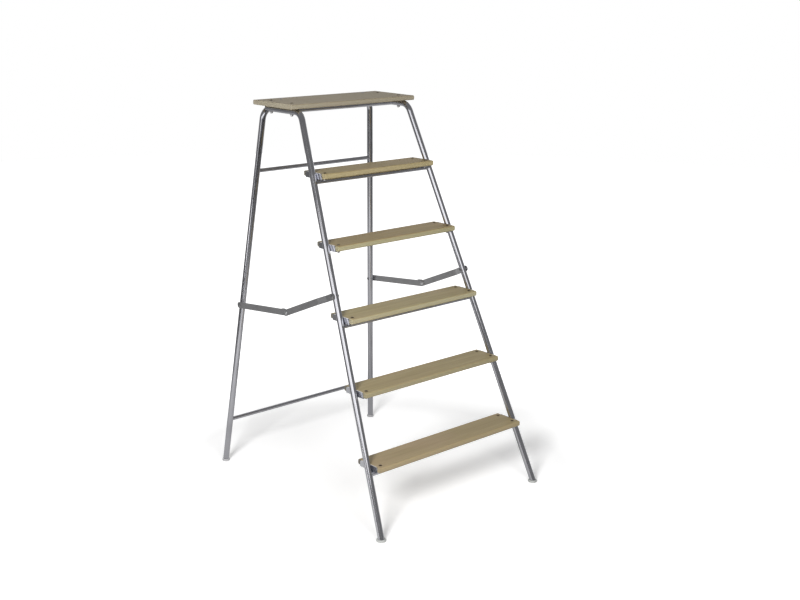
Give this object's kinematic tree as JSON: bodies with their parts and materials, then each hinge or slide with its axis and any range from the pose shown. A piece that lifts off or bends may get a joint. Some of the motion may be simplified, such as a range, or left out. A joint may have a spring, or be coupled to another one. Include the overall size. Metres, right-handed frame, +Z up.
{
  "type": "folding stepladder",
  "caption": "Folding platform stepladder of bright plated steel tube with wooden treads and platform, a hinged rear frame and folding flat-bar side braces.",
  "frame": {"origin": "on the floor, at the middle of the footprint", "axes": "+Z up, +Y from the treads towards the rear legs, +X to the right of someone facing the treads"},
  "size_m": [0.8476, 1.0178, 1.4976],
  "materials": {
    "plated_tube": "bright plated, drawn tube",
    "plated_bar": "bright plated flat bar",
    "zinc": "dull zinc plate",
    "wood": "oiled hardwood boards",
    "front_foot_plastic": "pale grey moulding",
    "rear_foot_plastic": "grey moulding"
  },
  "bodies": {
    "front_frame": {"front_tube_left": "plated_tube", "front_tube_right": "plated_tube", "platform": "wood", "platform_cross_tube": "plated_tube", "platform_bolts": "zinc", "platform_nuts": "zinc", "hinge_strap_left": "plated_bar", "hinge_strap_right": "plated_bar", "hinge_strap_bolts": "zinc", "hinge_strap_nuts": "zinc", "front_foot_left": "front_foot_plastic", "front_foot_right": "front_foot_plastic", "front_brace_washers": "zinc", "front_brace_rivets": "zinc", "tread_bolts": "zinc", "tread_nuts": "zinc", "tread_1": "wood", "tread_bracket_1_left": "plated_bar", "tread_bracket_1_right": "plated_bar", "tread_cross_tube_1": "plated_tube", "tread_2": "wood", "tread_bracket_2_left": "plated_bar", "tread_bracket_2_right": "plated_bar", "tread_3": "wood", "tread_bracket_3_left": "plated_bar", "tread_bracket_3_right": "plated_bar", "tread_cross_tube_3": "plated_tube", "tread_4": "wood", "tread_bracket_4_left": "plated_bar", "tread_bracket_4_right": "plated_bar", "tread_5": "wood", "tread_bracket_5_left": "plated_bar", "tread_bracket_5_right": "plated_bar", "tread_cross_tube_5": "plated_tube"},
    "rear_frame": {"rear_tube": "plated_tube", "rear_upper_rung": "plated_tube", "rear_lower_rung": "plated_tube", "rear_foot_left": "rear_foot_plastic", "rear_foot_right": "rear_foot_plastic", "rear_brace_washers": "zinc", "rear_brace_rivets": "zinc"},
    "front_link_left": {"front_brace_link_left": "plated_bar", "brace_rivet_outer_left": "zinc"},
    "rear_link_left": {"rear_brace_link_left": "plated_bar", "brace_rivet_inner_left": "zinc"},
    "front_link_right": {"front_brace_link_right": "plated_bar", "brace_rivet_outer_right": "zinc"},
    "rear_link_right": {"rear_brace_link_right": "plated_bar", "brace_rivet_inner_right": "zinc"}
  },
  "joints": [
    {"name": "rear_fold", "type": "hinge", "parent": "front_frame", "child": "rear_frame", "pos_m": [0, 0.36121, 1.46295], "axis": [-1, 0, 0], "range_deg": [0, 28]},
    {"name": "front_brace_pivot_left", "type": "hinge", "parent": "front_frame", "child": "front_link_left", "pos_m": [-0.34355, -0.14283, 0.825], "axis": [1, 0, 0], "range_deg": [0, 74.5]},
    {"name": "rear_brace_pivot_left", "type": "hinge", "parent": "rear_frame", "child": "rear_link_left", "pos_m": [-0.35318, 0.43338, 0.675], "axis": [-1, 0, 0], "range_deg": [0, 53.3]},
    {"name": "front_brace_pivot_right", "type": "hinge", "parent": "front_frame", "child": "front_link_right", "pos_m": [0.34355, -0.14283, 0.825], "axis": [1, 0, 0], "range_deg": [0, 74.5]},
    {"name": "rear_brace_pivot_right", "type": "hinge", "parent": "rear_frame", "child": "rear_link_right", "pos_m": [0.35318, 0.43338, 0.675], "axis": [-1, 0, 0], "range_deg": [0, 53.3]}
  ],
  "couplings": [
    {"joint": "front_brace_pivot_left", "follows": "rear_fold", "ratio": 2.6433},
    {"joint": "rear_brace_pivot_left", "follows": "rear_fold", "ratio": 1.8873},
    {"joint": "front_brace_pivot_right", "follows": "rear_fold", "ratio": 2.6433},
    {"joint": "rear_brace_pivot_right", "follows": "rear_fold", "ratio": 1.8873}
  ]
}
